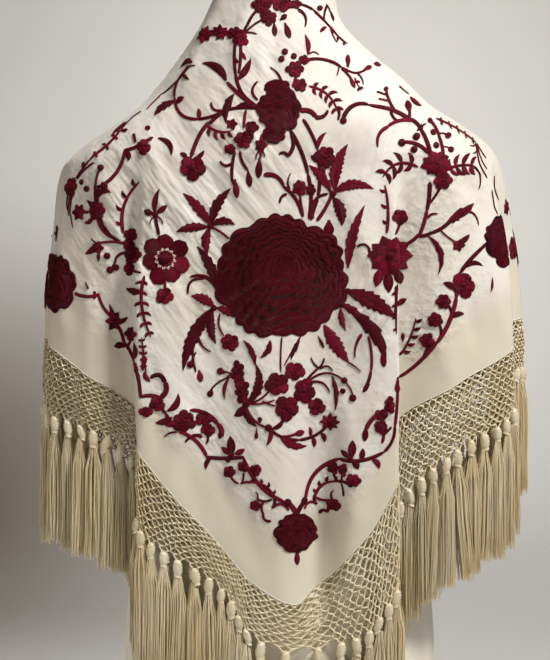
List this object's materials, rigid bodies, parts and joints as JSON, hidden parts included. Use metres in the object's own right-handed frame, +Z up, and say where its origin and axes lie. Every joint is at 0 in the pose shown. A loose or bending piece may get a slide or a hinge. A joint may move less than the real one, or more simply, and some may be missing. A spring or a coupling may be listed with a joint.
{
  "type": "flamenco shawl on a dress form",
  "caption": "Ivory silk-crepe shawl embroidered with wine-red roses, folded corner to corner over a limbless dress form, with a knotted net and a long tasselled fringe.",
  "frame": {"origin": "centre of the round base's underside, on the floor", "axes": "+Z up, +X to the right seen from behind the back, -Y out of the shawl's back"},
  "size_m": [0.5079, 0.3, 0.956],
  "materials": {
    "crepe": "satin",
    "silk_cord": "satin",
    "linen": "matte",
    "beech": "satin",
    "black_metal": "satin"
  },
  "bodies": {
    "root": {"shawl_cloth": "crepe", "net_left": "silk_cord", "net_right": "silk_cord", "fringe_front_left": "silk_cord", "fringe_side_left": "silk_cord", "fringe_back_left": "silk_cord", "fringe_back_right": "silk_cord", "fringe_side_right": "silk_cord", "fringe_front_right": "silk_cord", "form_torso": "linen", "form_neck_cap": "beech", "form_flange": "beech", "form_pole": "beech", "form_base": "black_metal"}
  },
  "joints": []
}
